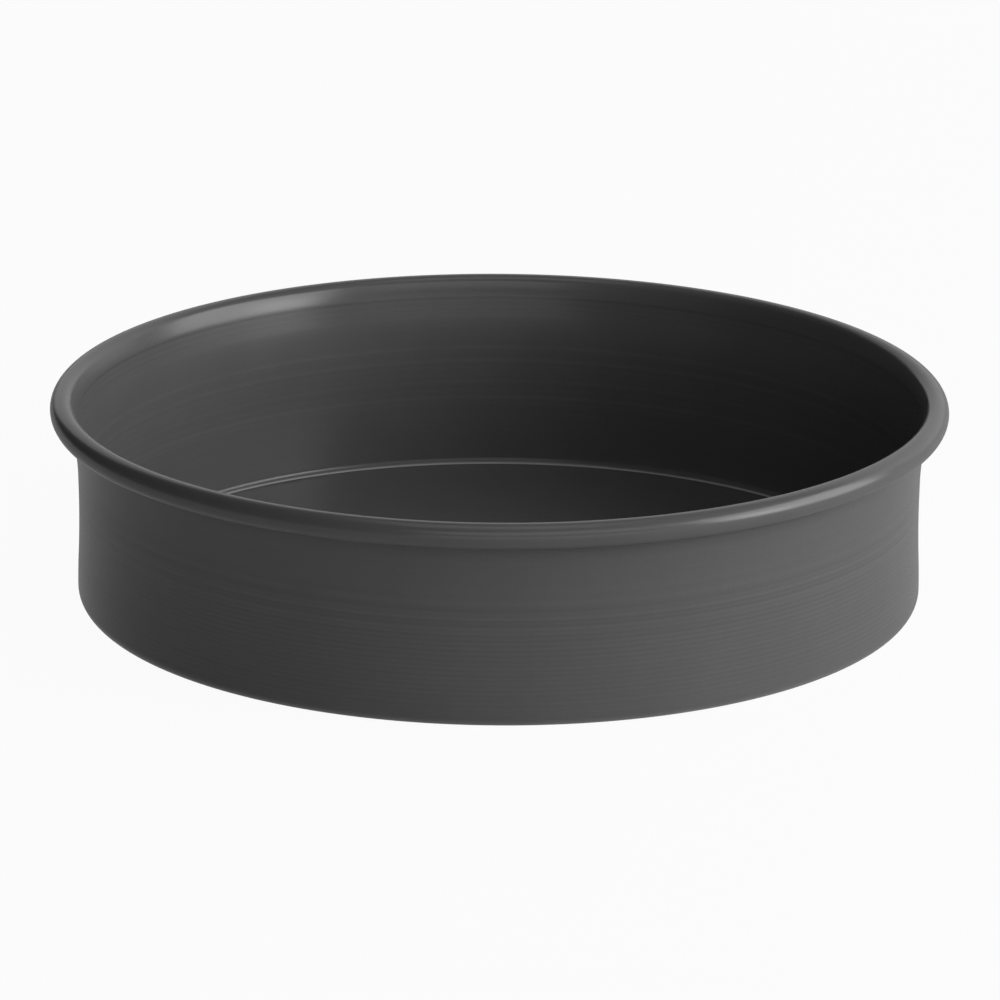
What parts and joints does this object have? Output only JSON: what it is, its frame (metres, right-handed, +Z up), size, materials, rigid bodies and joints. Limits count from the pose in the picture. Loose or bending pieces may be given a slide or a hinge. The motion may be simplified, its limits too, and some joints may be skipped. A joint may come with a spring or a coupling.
{
  "type": "round cake tin",
  "caption": "Round baking tin spun from one dark satin sheet: flat floor, upright wall and a hollow rolled rim, open at the top.",
  "frame": {"origin": "centre of the underside, on the surface that the tin stands on", "axes": "+Z up through the open mouth, along the axis that the tin was spun about; X and Y are alike"},
  "size_m": [0.22, 0.22, 0.0513],
  "materials": {
    "anodised_sheet": "satin hard anodised, with faint spinning rings"
  },
  "bodies": {
    "root": {"spun_pan": "anodised_sheet"}
  },
  "joints": []
}
